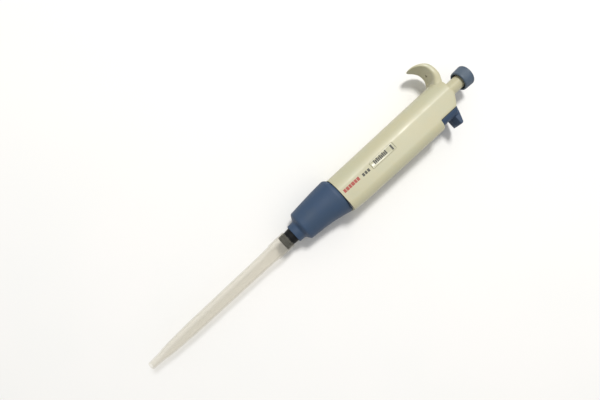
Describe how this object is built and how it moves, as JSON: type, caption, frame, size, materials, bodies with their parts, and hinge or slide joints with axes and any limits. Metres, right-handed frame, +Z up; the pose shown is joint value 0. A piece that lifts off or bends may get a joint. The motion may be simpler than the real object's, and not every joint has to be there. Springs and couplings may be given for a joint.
{
  "type": "single-channel pipette",
  "caption": "Hand-held fixed-volume air-displacement pipette with a push button, finger hook, tip ejector and fitted disposable tip.",
  "frame": {"origin": "on the bench, at the flat lower flank of the handle, under the plunger axis and half-way along the handle", "axes": "+X along the plunger axis from the tip's open end to the push button, +Y towards the finger hook, +Z up from the bench through the handle's flank"},
  "size_m": [0.3434, 0.0601, 0.032],
  "materials": {
    "cream_plastic": "satin moulded cream plastic",
    "blue_plastic": "satin moulded grey-blue plastic",
    "navy_plastic": "satin moulded dark blue plastic",
    "black_plastic": "matt black engineering plastic",
    "grey_plastic": "matt grey engineering plastic",
    "tip_plastic": "translucent polypropylene",
    "steel": "bright spring steel",
    "brass": "turned brass",
    "seal_rubber": "black nitrile rubber",
    "ptfe": "white low-friction plastic",
    "filter_foam": "porous white filter",
    "label_print": "printed film"
  },
  "bodies": {
    "handle": {"handle_body": "cream_plastic", "label_plate": "label_print", "base_plate": "grey_plastic", "coupling_nut": "brass", "mechanism_tube": "grey_plastic", "calibration_nut": "brass", "stem_bush": "black_plastic", "cylinder": "grey_plastic", "cylinder_cap": "grey_plastic", "tip_cone": "black_plastic", "cone_o_ring": "seal_rubber", "nozzle_filter": "filter_foam"},
    "blowout_stage": {"blowout_cup": "steel", "blowout_spring": "steel"},
    "plunger": {"piston": "grey_plastic", "piston_seal": "ptfe", "piston_o_ring": "seal_rubber", "seal_retainer": "grey_plastic", "piston_screw": "steel", "plunger_rod": "steel", "stop_collar": "brass", "spring_seat": "steel", "seat_clip": "steel", "plunger_spring": "steel", "button_stem": "cream_plastic", "push_button": "blue_plastic", "button_cap": "blue_plastic"},
    "ejector": {"ejector_button": "navy_plastic", "ejector_rod": "steel", "ejector_collar": "steel", "ejector_spring": "steel", "ejector_sleeve": "blue_plastic"},
    "tip": {"disposable_tip": "tip_plastic"}
  },
  "joints": [
    {"name": "blowout_stroke", "type": "slide", "parent": "handle", "child": "blowout_stage", "axis": [-1, 0, 0], "range_m": [0, 0.0022], "stiffness_N_per_m": 3000, "springref_m": -0.002, "deforming": ["blowout_spring"]},
    {"name": "plunger_stroke", "type": "slide", "parent": "blowout_stage", "child": "plunger", "axis": [-1, 0, 0], "range_m": [0, 0.01315], "stiffness_N_per_m": 300, "springref_m": -0.006, "deforming": ["plunger_spring"]},
    {"name": "ejector_press", "type": "slide", "parent": "handle", "child": "ejector", "axis": [-1, 0, 0], "range_m": [0, 0.0075], "stiffness_N_per_m": 500, "springref_m": -0.004, "deforming": ["ejector_spring"]},
    {"name": "tip_release", "type": "slide", "parent": "handle", "child": "tip", "axis": [-1, 0, 0], "range_m": [0, 0.01125]}
  ],
  "couplings": [
    {"joint": "tip_release", "follows": "ejector_press", "ratio": 1.5}
  ]
}
